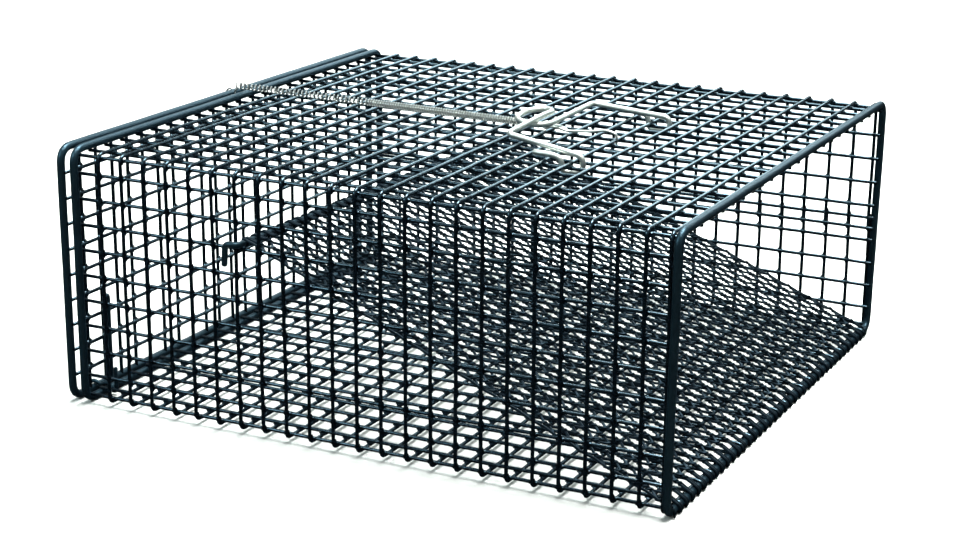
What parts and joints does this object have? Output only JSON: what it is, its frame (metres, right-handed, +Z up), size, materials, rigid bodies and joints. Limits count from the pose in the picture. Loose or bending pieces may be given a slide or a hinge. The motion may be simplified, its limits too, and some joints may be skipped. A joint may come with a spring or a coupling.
{
  "type": "live catch trap",
  "caption": "Box cage trap of coated square wire mesh with a ramp mouth, a sprung rear door hinged at the bottom and a wire carrying handle on top.",
  "frame": {"origin": "on the ground below the middle of the trap's box", "axes": "+X along the cage from the rear door to the open mouth, +Y from the near side to the side with the seam, +Z up"},
  "size_m": [0.6439, 0.5974, 0.2794],
  "materials": {
    "mesh_coating": "black vinyl coating over welded wire, glossy with a cool cast",
    "frame_coating": "black vinyl coating over bent rod, satin gloss",
    "zinc_wire": "bright zinc plating over drawn wire",
    "spring_steel": "zinc plated spring wire, slightly dull"
  },
  "bodies": {
    "cage": {"front_frame": "frame_coating", "rear_frame": "frame_coating", "top_mesh": "mesh_coating", "floor_mesh": "mesh_coating", "near_side_mesh": "mesh_coating", "far_side_lower_mesh": "mesh_coating", "far_side_upper_mesh": "mesh_coating", "ramp_mesh": "mesh_coating", "ramp_lip_rod": "frame_coating", "hinge_clip_near": "frame_coating", "hinge_clip_far": "frame_coating"},
    "door": {"door_frame": "frame_coating", "door_mesh": "mesh_coating", "door_strap_near": "frame_coating", "door_strap_far": "frame_coating"},
    "spring": {"door_spring": "spring_steel", "spring_door_loop": "spring_steel", "spring_front_loop": "spring_steel"},
    "hook": {"spring_hook": "zinc_wire"},
    "handle": {"handle": "zinc_wire"}
  },
  "joints": [
    {"name": "door_hinge", "type": "hinge", "parent": "cage", "child": "door", "pos_m": [-0.31338, 0, 0.00419], "axis": [0, -1, 0], "range_deg": [0, 90]},
    {"name": "spring_swing", "type": "hinge", "parent": "door", "child": "spring", "pos_m": [-0.31338, -0.00127, 0.25565], "axis": [0, -1, 0], "range_deg": [0, 90]},
    {"name": "hook_swing", "type": "hinge", "parent": "spring", "child": "hook", "pos_m": [0.06001, -0.00127, 0.26149], "axis": [0, -1, 0], "range_deg": [0, 10]},
    {"name": "handle_lift", "type": "hinge", "parent": "cage", "child": "handle", "pos_m": [0.1362, -0.00216, 0.25184], "axis": [0, 1, 0], "range_deg": [0, 80]}
  ]
}
